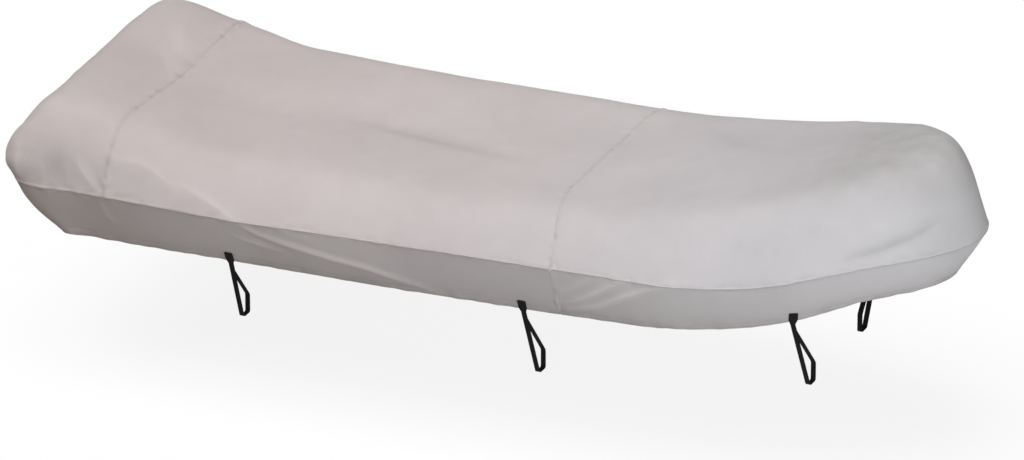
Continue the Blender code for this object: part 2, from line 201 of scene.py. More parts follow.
def pushOut(item, lift):
    # moves each point along its normal
    places = readArray(item.data.vertices, "co", 3)
    places += readArray(item.data.vertex_normals, "vector", 3) * lift[:, None]
    item.data.vertices.foreach_set("co", places.ravel())
    item.data.update()


def toward(azimuth, elevation):
    # a direction from the boat: the angle round from the near side, and up from level
    turn = math.radians(azimuth)
    rise = math.radians(elevation)
    return Vector((math.sin(turn) * math.cos(rise), -math.cos(turn) * math.cos(rise), math.sin(rise)))


camera = {
    "target": (0.0, 0.0, -0.368),
    "azimuth": 24.0,
    "elevation": 24.5,
    "distance": 40.0,
    "lens": 351.56,
    "clip": 400.0,
}


def addCamera():
    back = toward(camera["azimuth"], camera["elevation"])
    bpy.ops.object.camera_add(location=Vector(camera["target"]) + back * camera["distance"])
    item = bpy.context.object
    item.rotation_euler = (-back).to_track_quat("-Z", "Y").to_euler()
    item.data.lens = camera["lens"]
    item.data.clip_end = camera["clip"]
    bpy.context.scene.camera = item


addCamera()
print("camera set")

cloth = {
    "panels": ("stern_panel", "main_panel", "bow_panel", "aft_skirt", "bow_skirt"),
    "bands": ("aft_skirt", "bow_skirt"),
    "rimEdge": 0.003,       # a face with a shorter edge than this is the cut edge of the cloth
    "merge": 0.00001,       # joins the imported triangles' corners
    "quadAngle": 50.0,      # two triangles become one face when they bend less than this
    "seamGap": 0.0006,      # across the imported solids' seams
    "layoutMargin": 0.02,
    "levels": 3,
    "thickness": 0.0016,
}
bandNumbers = {cloth["panels"].index(name) for name in cloth["bands"]}


def outerWall(node, number):
    # the outside of one packed panel as an open sheet of quads
    wall = bpy.data.objects.new(node + "Wall", nodes[node].data.copy())
    bpy.context.collection.objects.link(wall)
    wall.data.materials.clear()
    editAll(wall)
    bpy.ops.mesh.remove_doubles(threshold=cloth["merge"])
    bpy.ops.mesh.select_all(action="DESELECT")
    mesh = bmesh.from_edit_mesh(wall.data)
    for face in mesh.faces:
        face.select = min(edge.calc_length() for edge in face.edges) < cloth["rimEdge"]
    bpy.ops.mesh.delete(type="FACE")
    bpy.ops.mesh.select_all(action="SELECT")
    bpy.ops.mesh.separate(type="LOOSE")
    bpy.ops.object.mode_set(mode="OBJECT")
    walls = sorted(bpy.context.selected_objects, key=lambda item: sum(item.dimensions))
    for inner in walls[:-1]:
        bpy.data.objects.remove(inner)
    outer = walls[-1]
    editAll(outer)
    bpy.ops.mesh.tris_convert_to_quads(face_threshold=math.radians(cloth["quadAngle"]),
                                       shape_threshold=math.pi, topology_influence=1.0)
    bpy.ops.object.mode_set(mode="OBJECT")
    panel = outer.data.attributes.new("panel", "INT", "FACE")
    panel.data.foreach_set("value", [number] * len(outer.data.polygons))
    return outer


def markEdges(item):
    # a cut in the cloth's layout at each seam, and a hard fold along the knuckle line
    mesh = bmesh.new()
    mesh.from_mesh(item.data)
    panel = mesh.faces.layers.int["panel"]
    crease = mesh.edges.layers.float.new("crease_edge")
    for edge in mesh.edges:
        numbers = {face[panel] for face in edge.link_faces}
        edge.seam = len(numbers) == 2
        if len(numbers) == 2 and len(numbers & bandNumbers) == 1:
            edge[crease] = 1.0
    mesh.to_mesh(item.data)
    mesh.free()


def ringArea(ring):
    after = np.roll(ring, -1, axis=0)
    return abs((ring[:, 0] * after[:, 1] - after[:, 0] * ring[:, 1]).sum()) / 2


def layOut(item):
    # each panel's flat layout in metres, its first axis along the boat on the near side
    item.data.uv_layers.new(name="flat")
    editAll(item)
    bpy.ops.uv.unwrap(method="ANGLE_BASED", margin=cloth["layoutMargin"])
    bpy.ops.object.mode_set(mode="OBJECT")
    data = item.data
    uv = readArray(data.uv_layers["flat"].data, "uv", 2)
    corners = readArray(data.loops, "vertex_index", 1, int)
    places = readArray(data.vertices, "co", 3)[corners]
    numbers = readArray(data.attributes["panel"].data, "value", 1, int)
    areas = readArray(data.polygons, "area", 1)
    starts = readArray(data.polygons, "loop_start", 1, int)
    counts = readArray(data.polygons, "loop_total", 1, int)
    owner = np.repeat(np.arange(len(counts)), counts)
    flats = {}
    for number, name in enumerate(cloth["panels"]):
        mine = np.flatnonzero(numbers == number)
        flatArea = sum(ringArea(uv[starts[face]:starts[face] + counts[face]]) for face in mine)
        loops = np.isin(owner, mine)
        near = loops & (places[:, 1] < 0)
        known = np.c_[uv[near], np.ones(near.sum())]
        slope = np.linalg.lstsq(known, places[near, 0], rcond=None)[0][:2]
        along = slope / np.linalg.norm(slope)
        turn = np.array(((along[0], -along[1]), (along[1], along[0])))
        uv[loops] = uv[loops] @ turn * math.sqrt(areas[mine].sum() / flatArea)
        span = uv[loops].max(axis=0) - uv[loops].min(axis=0)
        flats[name] = (span.round(3).tolist(), round(float(areas[mine].sum()), 3))
    data.uv_layers["flat"].data.foreach_set("uv", uv.ravel())
    return flats


def wholeSurface():
    walls = [outerWall(node, number) for number, node in enumerate(cloth["panels"])]
    selectOnly(*walls)
    bpy.ops.object.join()
    item = bpy.context.object
    item.name = "wholeCover"
    editAll(item)
    bpy.ops.mesh.remove_doubles(threshold=cloth["seamGap"])
    bpy.ops.mesh.normals_make_consistent(inside=False)
    bpy.ops.object.mode_set(mode="OBJECT")
    markEdges(item)
    print("flat sizes", layOut(item))
    applyModifier(item, "SUBSURF", levels=cloth["levels"], render_levels=cloth["levels"])
    item.data.shade_smooth()
    return item


whole = wholeSurface()
print("cloth surface made,", len(whole.data.polygons), "faces")

# Each fold: its points along the cloth, half width, height (a hollow's is negative), and its
# crest's shape, from 1.3 for a sharp one to 2 for a round one.
folds = {
    "near": (
        # creases round the near tube's end
        (((-1.464, -0.67, -0.045), (-1.403, -0.668, -0.048), (-1.328, -0.658, -0.047),
          (-1.264, -0.671, -0.065), (-1.2, -0.687, -0.095), (-1.122, -0.712, -0.122)),
         0.018, 0.0048, 1.3),
        (((-1.603, -0.685, -0.064), (-1.557, -0.701, -0.119), (-1.495, -0.721, -0.174)),
         0.02, 0.0052, 1.3),
        (((-1.54, -0.69, -0.062), (-1.5, -0.708, -0.11), (-1.472, -0.722, -0.18)),
         0.016, -0.0038, 1.4),
        (((-1.74, -0.71, -0.14), (-1.637, -0.701, -0.116)), 0.06, -0.007, 2.0),
        (((-1.858, -0.665, -0.04), (-1.849, -0.699, -0.191)), 0.018, 0.01, 1.4),
        (((-1.15, -0.69, -0.085), (-1.04, -0.709, -0.121), (-0.975, -0.718, -0.145),
          (-0.873, -0.739, -0.183)), 0.015, 0.005, 1.3),
        # the band's long ridge, and two shorter ones
        (((-0.9, -0.739, -0.185), (-0.765, -0.717, -0.238), (-0.647, -0.709, -0.262),
          (-0.482, -0.689, -0.292), (-0.312, -0.679, -0.313), (-0.175, -0.657, -0.348),
          (-0.056, -0.632, -0.38)), 0.014, 0.013, 1.4),
        (((-0.914, -0.702, -0.267), (-0.803, -0.694, -0.285), (-0.686, -0.682, -0.307)),
         0.013, 0.008, 1.4),
        (((-1.486, -0.721, -0.212), (-1.457, -0.693, -0.288), (-1.44, -0.676, -0.327)),
         0.016, 0.005, 1.4),
        # a sag over the deck, and a crease on the stern's top
        (((-0.729, 0.019, -0.017), (-0.624, 0.002, -0.017), (-0.45, -0.032, -0.008),
          (-0.246, -0.056, -0.005), (-0.037, -0.093, 0.0), (0.123, -0.102, 0.011)),
         0.046, -0.0085, 1.6),
        (((-1.64, 0.342, 0.107), (-1.521, 0.149, 0.054)), 0.035, 0.006, 1.5),
        # the fan of folds ahead of the main seam
        (((0.47, -0.62, -0.365), (0.509, -0.622, -0.356), (0.646, -0.64, -0.309),
          (0.759, -0.667, -0.242), (0.856, -0.674, -0.19), (0.976, -0.677, -0.15)),
         0.014, 0.0125, 1.4),
        (((0.49, -0.635, -0.335), (0.536, -0.644, -0.315), (0.63, -0.663, -0.259),
          (0.723, -0.682, -0.195), (0.794, -0.689, -0.157)), 0.013, 0.0095, 1.4),
        (((0.48, -0.654, -0.292), (0.556, -0.671, -0.235), (0.64, -0.688, -0.173)),
         0.014, 0.0045, 1.5),
        # a trough round the bow, and a dent on the stern's top
        (((1.6, -0.48, -0.02), (1.662, -0.445, 0.006), (1.741, -0.393, 0.024),
          (1.85, -0.291, 0.062), (1.887, -0.24, 0.082), (1.915, -0.195, 0.106)),
         0.026, -0.01, 1.4),
        (((-1.508, 0.141, 0.05), (-1.455, 0.078, 0.041)), 0.025, -0.005, 1.6),
    ),
    "far": (
        # the far side's, fewer and plainer
        (((-1.44, 0.67, -0.05), (-1.33, 0.662, -0.055), (-1.22, 0.683, -0.095),
          (-1.12, 0.708, -0.125)), 0.02, 0.0055, 1.3),
        (((-1.74, 0.7, -0.13), (-1.62, 0.7, -0.12)), 0.06, -0.008, 2.0),
        (((-0.98, 0.735, -0.195), (-0.84, 0.71, -0.25), (-0.6, 0.695, -0.285),
          (-0.33, 0.665, -0.33), (-0.18, 0.64, -0.38)), 0.016, 0.0075, 1.4),
        (((0.5, 0.622, -0.356), (0.64, 0.645, -0.3), (0.78, 0.67, -0.23),
          (0.9, 0.68, -0.165)), 0.014, 0.0075, 1.4),
        # across the stern's end
        (((-1.881, 0.3, -0.15), (-1.881, 0.02, -0.13), (-1.881, -0.28, -0.155)),
         0.03, 0.005, 1.5),
        (((-1.86, 0.35, -0.215), (-1.78, 0.3, -0.33)), 0.016, 0.005, 1.4),
        (((-1.86, -0.25, -0.215), (-1.78, -0.3, -0.33)), 0.016, 0.005, 1.4),
        # round the far side of the bow, and ahead of the deck
        (((1.66, 0.44, 0.01), (1.76, 0.38, 0.04), (1.85, 0.29, 0.07)),
         0.03, -0.006, 1.4),
        (((0.7, 0.38, 0.09), (0.9, 0.18, 0.12), (1.12, 0.06, 0.16)),
         0.05, -0.005, 1.6),
    ),
    "slack": (
        # broad slack and tension, too soft to take painted highlight and shade: the stern's aft edge, pulled out
        # square
        (((-1.78, -0.715, -0.13), (-1.918, -0.687, -0.131), (-1.947, -0.629, -0.143),
          (-1.963, -0.36, -0.158), (-1.977, 0.0, -0.157), (-1.963, 0.36, -0.158),
          (-1.947, 0.629, -0.143), (-1.918, 0.687, -0.131), (-1.78, 0.715, -0.13)),
         0.055, 0.015, 2.0),
        # a rise and a hollow over the near tube's end, and a rise over the far one's
        (((-1.935, -0.67, -0.08), (-1.915, -0.57, -0.02)), 0.11, 0.014, 2.0),
        (((-1.855, -0.66, 0.045), (-1.825, -0.43, 0.075), (-1.85, -0.19, 0.075)),
         0.11, -0.0145, 2.0),
        (((-1.89, 0.02, 0.05), (-1.87, 0.42, 0.04)), 0.12, 0.012, 2.0),
        # a rise along the far tube, and the bow's crown a little down
        (((-0.5, 0.52, 0.03), (0.2, 0.51, 0.035), (0.9, 0.48, 0.1)),
         0.17, 0.0115, 2.0),
        (((1.28, 0.38, 0.21), (1.62, 0.22, 0.28)), 0.15, -0.013, 2.0),
    ),
    "taper": 0.6,            # how bluntly a fold ends: lower is blunter
    "endShare": 0.02,        # share of its length at each end that lies level
    "ripple": 0.0011,        # the cloth's slight unevenness everywhere
    "rippleSize": 0.17,
    "rippleNoise": (1.0, 2.0, 3),   # its roughness, the step between its octaves, their number
}


def foldLift(places, points, width, height, sharpness):
    # how far one fold lifts each place, fading out at its two ends
    best = np.full(len(places), np.inf)
    share = np.zeros(len(places))
    chain = np.array(points)
    lengths = np.linalg.norm(np.diff(chain, axis=0), axis=1)
    run = np.r_[0.0, np.cumsum(lengths)]
    for k, length in enumerate(lengths):
        step = chain[k + 1] - chain[k]
        along = np.clip((places - chain[k]) @ step / length ** 2, 0.0, 1.0)
        away = np.linalg.norm(places - chain[k] - along[:, None] * step, axis=1)
        closer = away < best
        best[closer] = away[closer]
        share[closer] = (run[k] + along[closer] * length) / run[-1]
    level = np.clip(share, folds["endShare"], 1 - folds["endShare"])
    taper = np.sin(np.pi * level) ** folds["taper"]
    return height * taper * np.exp(-(best / width) ** sharpness)


def pressFolds(item):
    places = readArray(item.data.vertices, "co", 3)
    lift = np.zeros(len(places))
    for fold in folds["near"] + folds["far"]:
        lift += foldLift(places, *fold)
    # the narrow folds' heights, which the canvas turns into painted highlight on crests and painted shade in hollows
    markPoints(item, "fold", lift)
    for fold in folds["slack"]:
        lift += foldLift(places, *fold)
    size = folds["rippleSize"]
    ripple = [noise.fractal(Vector(place) / size, *folds["rippleNoise"]) for place in places]
    pushOut(item, lift + np.array(ripple) * folds["ripple"])


pressFolds(whole)
print("folds pressed")


def joinEdges(item):
    # the cloth's joins and free edge by kind: each vertex there with its neighbours along it
    mesh = bmesh.new()
    mesh.from_mesh(item.data)
    panel = mesh.faces.layers.int["panel"]
    links = {}
    for edge in mesh.edges:
        numbers = sorted({face[panel] for face in edge.link_faces})
        if len(edge.link_faces) == 1:
            kind = "hem"
        elif len(numbers) < 2:
            continue
        elif len(bandNumbers & set(numbers)) == 1:
            kind = "knuckle"
        else:
            kind = "seam" + str(numbers[0])
        run = links.setdefault(kind, {})
        one, two = (vert.index for vert in edge.verts)
        run.setdefault(one, []).append(two)
        run.setdefault(two, []).append(one)
    mesh.free()
    return links


def seamPaths(item):
    # each join's kind, its vertices in order, and whether it closes on itself
    paths = []
    for kind, run in sorted(joinEdges(item).items()):
        left = set(run)
        while left:
            ends = sorted(vert for vert in left if len(run[vert]) == 1)
            path = [ends[0] if ends else min(left)]
            left.discard(path[0])
            while True:
                onward = [vert for vert in sorted(run[path[-1]]) if vert in left]
                if not onward:
                    break
                path.append(onward[0])
                left.discard(onward[0])
            paths.append((kind, path, not ends))
    return paths


def plainKind(kind):
    # "seam1" is a seam, and the others have no number
    return kind.rstrip("0123456789")


def pathTree(places, path):
    tree = KDTree(len(path))
    for k, vert in enumerate(path):
        tree.insert(places[vert], k)
    tree.balance()
    return tree


pucker = {
    "knuckle": (0.0026, 0.040, 0.024),   # height, length along the seam, reach from it
    "seam": (0.0036, 0.034, 0.022),
    "hem": (0.0016, 0.055, 0.030),
    "gain": 2.0,        # the noise seldom passes a half
    "cutOff": 3.0,      # how many reaches away it has died out
    "seed": 7.3,
}


def puckerSeams(item, paths):
    # the gathers that sewing draws up along each join
    places = readArray(item.data.vertices, "co", 3)
    lift = np.zeros(len(places))
    for number, (kind, path, closed) in enumerate(paths):
        height, length, reach = pucker[plainKind(kind)]
        tree = pathTree(places, path)
        steps = np.linalg.norm(np.diff(places[path], axis=0), axis=1)
        run = np.r_[0.0, np.cumsum(steps)]
        for k, place in enumerate(places):
            spot, nearest, away = tree.find(place)
            if away < pucker["cutOff"] * reach:
                wave = noise.noise((run[nearest] / length, number * pucker["seed"], away / length))
                lift[k] += height * pucker["gain"] * wave * math.exp(-(away / reach) ** 2)
    pushOut(item, lift)


# dark marks for the cloth: dirt along the seams and in knots, darker towards the hem, and painted shade along the
# knuckle's crease, on its lip and inside the hem
dirtAndShade = {
    "hem": (0.9, 0.060),      # how strong, and how far from the join it reaches
    # the hem's inside, darkest: painted shade under the hem, with its dirt
    "underHem": 1.3,
    # painted shade along the knuckle's crease
    "knuckle": (0.35, 0.012),
    "ledge": 0.95,            # on the knuckle seam's lip, painted dark: painted shade
    "seam": (0.08, 0.014),
    "knots": (0.040, 1.1, -0.13),  # dark knots along the seams: length, contrast, offset
    "crown": (0.60, 0.14, 0.30),   # painted shade on the high bow: strength, and from and to which height
}


def gatherDirt(item, paths):
    # a vertex value that is high along the hem and the joins, for the cloth's colour: dirt at the seams, darker
    # towards the hem, painted shade along the knuckle
    places = readArray(item.data.vertices, "co", 3)
    total = np.zeros(len(places))
    for kind, path, closed in paths:
        strength, reach = dirtAndShade[plainKind(kind)]
        tree = pathTree(places, path)
        away = np.array([tree.find(place)[2] for place in places])
        total = np.maximum(total, strength * np.exp(-away / reach))
    # the bow's crown painted darker with height: painted shade
    strength, low, high = dirtAndShade["crown"]
    total += strength * np.clip((places[:, 2] - low) / (high - low), 0.0, 1.0)
    markPoints(item, "grimeAndShade", total)


joinPaths = seamPaths(whole)
puckerSeams(whole, joinPaths)
gatherDirt(whole, joinPaths)
print("seams gathered:", [(kind, len(path)) for kind, path, closed in joinPaths])


def runLengths(places):
    run = [0.0]
    for one, two in zip(places, places[1:]):
        run.append(run[-1] + (two - one).length)
    return run


def addPiece(name, mesh):
    # a smooth new object from a finished mesh
    bmesh.ops.recalc_face_normals(mesh, faces=mesh.faces)
    data = bpy.data.meshes.new(name)
    mesh.to_mesh(data)
    mesh.free()
    data.shade_smooth()
    item = bpy.data.objects.new(name, data)
    bpy.context.collection.objects.link(item)
    return item


def loft(name, rings, closed, runs, grimeAndShade=None):
    # a skin over matching rings of points, with its layout in metres and its dirt and painted shade ring by ring
    mesh = bmesh.new()
    layer = mesh.loops.layers.uv.new("flat")
    made = [[mesh.verts.new(point) for point in ring] for ring in rings]
    acrosses = runLengths(rings[0])
    count = len(rings[0])
    for i in range(len(rings) if closed else len(rings) - 1):
        one, two = made[i], made[(i + 1) % len(made)]
        here = runs[i]
        ahead = runs[i + 1] if i + 1 < len(runs) else here + (here - runs[i - 1])
        for k in range(count):
            n = (k + 1) % count
            face = mesh.faces.new((one[k], one[n], two[n], two[k]))
            layout = ((here, acrosses[k]), (here, acrosses[n]),
                      (ahead, acrosses[n]), (ahead, acrosses[k]))
            for loop, flat in zip(face.loops, layout):
                loop[layer].uv = flat
    if not closed:
        for ring, run in ((made[0], runs[0]), (made[-1], runs[-1])):
            face = mesh.faces.new(ring)
            for loop, across in zip(face.loops, acrosses):
                loop[layer].uv = (run, across)
    item = addPiece(name, mesh)
    if grimeAndShade:
        markPoints(item, "grimeAndShade", [value for row in grimeAndShade for value in row])
    return item


thread = {
    "grey": "#B4ADA9",
    "black": "#29292B",
    "pitch": 0.0085,
    "length": 0.0060,
    "radius": 0.0007,       # thicker than real, so that it shows
    "sunk": 0.3,            # share of the radius below the cloth
    "shoulder": 0.55,       # share of its half length at which a stitch starts to taper
    "twistSize": 0.00111,   # from one turn of the twist to the next
    "twistTones": (0.85, 1.12),
    "bumpStrength": 0.4,
    "bumpDepth": 0.0002,
}


def addStitch(mesh, centre, along, out):
    # a bead with four sides, tapered to its two ends
    half = thread["length"] / 2
    radius = thread["radius"]
    side = along.cross(out).normalized()
    centre = centre + out * radius * (1 - 2 * thread["sunk"])
    tips = [mesh.verts.new(centre + along * end - out * radius) for end in (-half, half)]
    rings = []
    for shift in (-half * thread["shoulder"], half * thread["shoulder"]):
        rings.append([mesh.verts.new(centre + along * shift + way * radius)
                      for way in (out, side, -out, -side)])
    for k in range(4):
        n = (k + 1) % 4
        mesh.faces.new((rings[0][k], rings[0][n], rings[1][n], rings[1][k]))
        mesh.faces.new((tips[0], rings[0][n], rings[0][k]))
        mesh.faces.new((tips[1], rings[1][k], rings[1][n]))


def sew(name, rows):
    # stitches at an even pitch along rows of places, each with the cloth's outward direction
    mesh = bmesh.new()
    for places, outs in rows:
        run = runLengths(places)
        at = thread["pitch"] / 2
        k = 0
        while at < run[-1]:
            while run[k + 1] < at:
                k += 1
            share = (at - run[k]) / (run[k + 1] - run[k])
            along = (places[k + 1] - places[k]).normalized()
            addStitch(mesh, places[k].lerp(places[k + 1], share), along, outs[k])
            at += thread["pitch"]
    return addPiece(name, mesh)


def joinFrames(item, path, closed):
    # at each vertex of a join: its place, the ways along and out, and each side's normal and
    # centre
    mesh = bmesh.new()
    mesh.from_mesh(item.data)
    mesh.verts.ensure_lookup_table()
    panel = mesh.faces.layers.int["panel"]
    count = len(path)
    places = [mesh.verts[vert].co.copy() for vert in path]
    frames = []
    for k, vert in enumerate(path):
        before = places[k - 1 if closed or k else 0]
        after = places[(k + 1) % count if closed else min(k + 1, count - 1)]
        sides = {}
        for face in mesh.verts[vert].link_faces:
            sides.setdefault(face[panel], []).append(face)
        normals = {}
        centres = {}
        for number, faces in sides.items():
            normals[number] = sum((face.normal for face in faces), Vector()).normalized()
            middle = sum((face.calc_center_median() for face in faces), Vector())
            centres[number] = middle / len(faces)
        outward = sum(normals.values(), Vector()).normalized()
        frames.append((places[k], (after - before).normalized(), outward, normals, centres))
    mesh.free()
    return frames


def clothTree(item):
    mesh = bmesh.new()
    mesh.from_mesh(item.data)
    tree = BVHTree.FromBMesh(mesh)
    mesh.free()
    return tree


surface = clothTree(whole)


def onCloth(point, out, height):
    # the cloth's nearest place, raised by a height
    spot, normal, face, away = surface.find_nearest(point)
    return spot + out * height


def acrossJoin(place, along, normal, centre):
    # the way that leaves a join square, on the side where a centre lies
    way = along.cross(normal).normalized()
    return way if way.dot(centre - place) > 0 else -way


# Felled seam: (across, height) in mm from one side to the other, and its two rows of thread.
felledSeam = {
    "profile": ((-8.0, -0.6), (-7.4, 0.6), (-6.0, 1.1), (-4.6, 0.7), (-3.0, 1.2), (0.0, 1.5),
                (2.6, 1.2), (4.2, 0.7), (5.6, 1.0), (7.0, 0.5), (7.6, -0.6)),
    "threadRows": ((-4.6, 0.7), (4.2, 0.7)),
}


def layFelled(place, along, outward, *sides):
    across = along.cross(outward).normalized()

    def lay(by, height):
        return onCloth(place + across * by * mm, outward, height * mm)

    return lay, outward


# Knuckle seam: (up the top, off it, down the band, off it, straight out) in mm.
knuckleSeam = {
    "profile": ((11.0, -0.6, 0, 0, 0), (10.4, 1.0, 0, 0, 0), (8.4, 1.3, 0, 0, 0),
                (7.0, 0.7, 0, 0, 0), (5.4, 1.3, 0, 0, 0), (2.4, 1.2, 0, 0, 0),
                (0.9, 1.0, 0, 0, 0.2), (0.5, 0, 0, 0, 1.1), (0, 0, 0.6, 0, 1.1),
                (0, 0, 1.6, 0.5, 0.2), (0, 0, 2.6, -0.6, 0)),
    "threadRows": ((7.0, 0.7, 0, 0, 0),),
}


def layKnuckle(place, along, outward, normals, centres):
    low = next(number for number in normals if number in bandNumbers)
    high = next(number for number in normals if number not in bandNumbers)
    offTop = normals[high]
    offBand = normals[low]
    up = acrossJoin(place, along, offTop, centres[high])
    down = acrossJoin(place, along, offBand, centres[low])

    def lay(upBy, topBy, downBy, bandBy, outBy):
        top = up * upBy + offTop * topBy
        return place + (top + down * downBy + offBand * bandBy + outward * outBy) * mm

    return lay, offTop


# Rolled hem: (up from the edge, off the cloth) in mm, outside first, round the edge, inside.
rolledHem = {
    "profile": ((27.0, -0.5), (26.4, 0.9), (24.4, 1.4), (22.6, 0.7), (20.6, 1.4), (10.0, 1.6),
                (4.8, 1.5), (3.4, 0.9), (2.0, 2.2), (-1.2, 2.6), (-3.4, 1.0), (-4.0, -1.2),
                (-2.6, -3.4), (1.0, -4.4), (4.0, -3.6), (20.0, -3.2), (26.0, -2.8), (26.6, -1.9)),
    "threadRows": ((22.6, 0.7), (3.4, 0.9)),
}


def layHem(place, along, outward, normals, centres):
    centre = sum(centres.values(), Vector()) / len(centres)
    up = acrossJoin(place, along, outward, centre)

    def lay(by, height):
        point = place + up * by * mm
        return onCloth(point, outward, height * mm) if by > 0 else point + outward * height * mm

    return lay, outward


# Each kind of join: its section, and what gives a row of the section its place.
styles = {
    "seam": (felledSeam, layFelled),
    "knuckle": (knuckleSeam, layKnuckle),
    "hem": (rolledHem, layHem),
}


def stripDirt(kind, runs, number):
    # the dirt and painted shade at every point of a seam strip
    if kind == "hem":
        strength, reach = dirtAndShade["hem"]
        # darker towards the edge outside, and the roll's inside painted darkest: painted shade with its dirt
        ring = [strength * math.exp(-max(up, 0) * mm / reach) if off > 0 else dirtAndShade["underHem"]
                for up, off in rolledHem["profile"]]
        return [ring] * len(runs)
    if kind == "knuckle":
        # the lip painted dark: painted shade along the knuckle
        ring = [dirtAndShade["ledge"] if out else 0.0 for *rest, out in knuckleSeam["profile"]]
        return [ring] * len(runs)
    length, contrast, offset = dirtAndShade["knots"]
    rows = []
    for run in runs:
        knot = noise.noise((run / length, number * pucker["seed"], 0.0)) * contrast + offset
        rows.append([dirtAndShade["seam"][0] + max(knot, 0.0)] * len(felledSeam["profile"]))
    return rows


def dressJoins(item, paths):
    # the seam strips and their rows of thread over the joins, by kind
    made = {}
    for kind, path, closed in paths:
        style, layOver = styles[plainKind(kind)]
        frames = joinFrames(item, path, closed)
        runs = runLengths([place for place, *ways in frames])
        rings = []
        rows = [([], []) for row in style["threadRows"]]
        for join in frames:
            lay, out = layOver(*join)
            rings.append([lay(*row) for row in style["profile"]])
            for (places, outs), row in zip(rows, style["threadRows"]):
                places.append(lay(*row))
                outs.append(out)
        found = made.setdefault(kind, [])
        grimeAndShade = stripDirt(kind, runs, len(found))
        found.append((loft(kind + "Strip" + str(len(found)), rings, closed, runs, grimeAndShade), rows))
    return made


joins = dressJoins(whole, joinPaths)
print("seam strips:", {kind: len(found) for kind, found in joins.items()})

# Each panel's cut as laid flat, in metres and square metres, what it is held by, and the join
# whose strips and thread count as its own.
sheets = {
    "stern_panel": {"name": "sternPanel", "flat": (0.84, 1.91), "area": 1.21,
                    "rests": ["main_panel"], "trim": "seam0"},
    "main_panel": {"name": "mainPanel", "flat": (1.96, 1.74), "area": 3.09,
                   "rests": ["aft_skirt"], "trim": "seam1"},
    "bow_panel": {"name": "bowPanel", "flat": (1.76, 1.76), "area": 2.42,
                  "rests": ["main_panel"], "trim": "knuckle"},
    "aft_skirt": {"name": "aftBand", "flat": (0.31, 6.10), "area": 1.51,
                  "rests": ["main_panel"], "trim": "hem"},
    "bow_skirt": {"name": "bowBand", "flat": (0.28, 3.90), "area": 0.82,
                  "rests": ["bow_panel"], "trim": "seam3"},
}


def splitSheets(item):
    # each panel as a sheet of its own, with the cloth's thickness inwards
    result = {}
    for number, node in enumerate(cloth["panels"]):
        sheet = bpy.data.objects.new(sheets[node]["name"], item.data.copy())
        bpy.context.collection.objects.link(sheet)
        mesh = bmesh.new()
        mesh.from_mesh(sheet.data)
        panel = mesh.faces.layers.int["panel"]
        others = [face for face in mesh.faces if face[panel] != number]
        bmesh.ops.delete(mesh, geom=others, context="FACES")
        mesh.to_mesh(sheet.data)
        mesh.free()
        applyModifier(sheet, "SOLIDIFY", thickness=cloth["thickness"], offset=-1.0,
                      use_even_offset=False)
        sheet.data.shade_smooth()
        result[node] = sheet
    bpy.data.objects.remove(item)
    return result


sheetPieces = splitSheets(whole)
print("sheets split:", {name: len(item.data.polygons) for name, item in sheetPieces.items()})

ties = {
    # where each is sewn to the far side's hem, the band's outward direction there, and how far
    # its loop reaches down and in
    "places": {
        "aft": ((-0.9463, 0.6324, -0.4108), (0.0096, 0.8971, -0.4418), 0.272, 0.095),
        "mid": ((0.3200, 0.6111, -0.3925), (0.0432, 0.9052, -0.4227), 0.323, 0.140),
        "bow": ((1.4101, 0.4685, -0.3005), (0.4204, 0.7900, -0.4462), 0.335, 0.168),
    },
    "sides": {"near": -1.0, "far": 1.0},
    "width": 0.022,
    "thickness": 0.002,
    "clearance": 0.0003,
    "neckDrop": 0.020,      # from the hem to where the webbing turns in
    "neckRise": 0.004,      # how far above that it begins to turn
    "neckEase": (0.15, 0.3),    # then this share of the way to the split, and of the turn
    "splitDrop": 0.036,     # from the neck to where the two legs part
    "railWidth": 0.052,
    "railHeight": 0.078,
    "corner": 0.010,
    "cornerSteps": 6,
    "levelPoints": 2,       # points at each end of the webbing that lie along the band
    "sectionPoints": 16,
    "squareness": (0.25, 0.6),  # of the section, across and through it: lower is squarer
    # the sewn tab, from the bottom up: height over the hem, half width and half thickness in mm
    "tab": ((-19.0, 11.2, 2.0), (-14.0, 12.0, 2.3), (-6.0, 14.8, 2.5), (2.0, 17.2, 2.3),
            (8.0, 17.8, 2.0), (20.0, 18.0, 1.9), (38.0, 18.0, 2.0), (43.5, 17.6, 1.9),
            (45.4, 16.6, 1.6), (46.2, 15.2, 1.0)),
    "box": (0.0125, 0.011, 0.039),  # half width of the stitched box, its foot and its head
}
alongBoat = Vector((1, 0, 0))


def flatRing(centre, wide, thick):
    # the outline of webbing cut across, its edges rounded
    flat, deep = ties["squareness"]
    ring = []
    for k in range(ties["sectionPoints"]):
        angle = 2 * math.pi * k / ties["sectionPoints"]
        c = math.cos(angle)
        s = math.sin(angle)
        ring.append(centre + wide * math.copysign(abs(c) ** flat, c)
                    + thick * math.copysign(abs(s) ** deep, s))
    return ring


def roundedRun(corners, radius, steps):
    run = [corners[0]]
    for last, corner, after in zip(corners, corners[1:], corners[2:]):
        start = corner + (last - corner).normalized() * radius
        end = corner + (after - corner).normalized() * radius
        for k in range(steps + 1):
            share = k / steps
            run.append(start * (1 - share) ** 2 + corner * 2 * share * (1 - share) + end * share * share)
    run.append(corners[-1])
    return run


def seatTie(place, side):
    # a tie's middle on the hem, and the ways out from the band, level along it and up it
    mirror = Vector((1, side, 1))
    hem = Vector(ties["places"][place][0]) * mirror
    out = (Vector(ties["places"][place][1]) * mirror).normalized()
    level = Vector((out.y, -out.x, 0)).normalized() * side
    up = out.cross(level) * side
    up *= 1 if up.z > 0 else -1
    return hem + out * (ties["clearance"] + ties["thickness"]), out, level, up


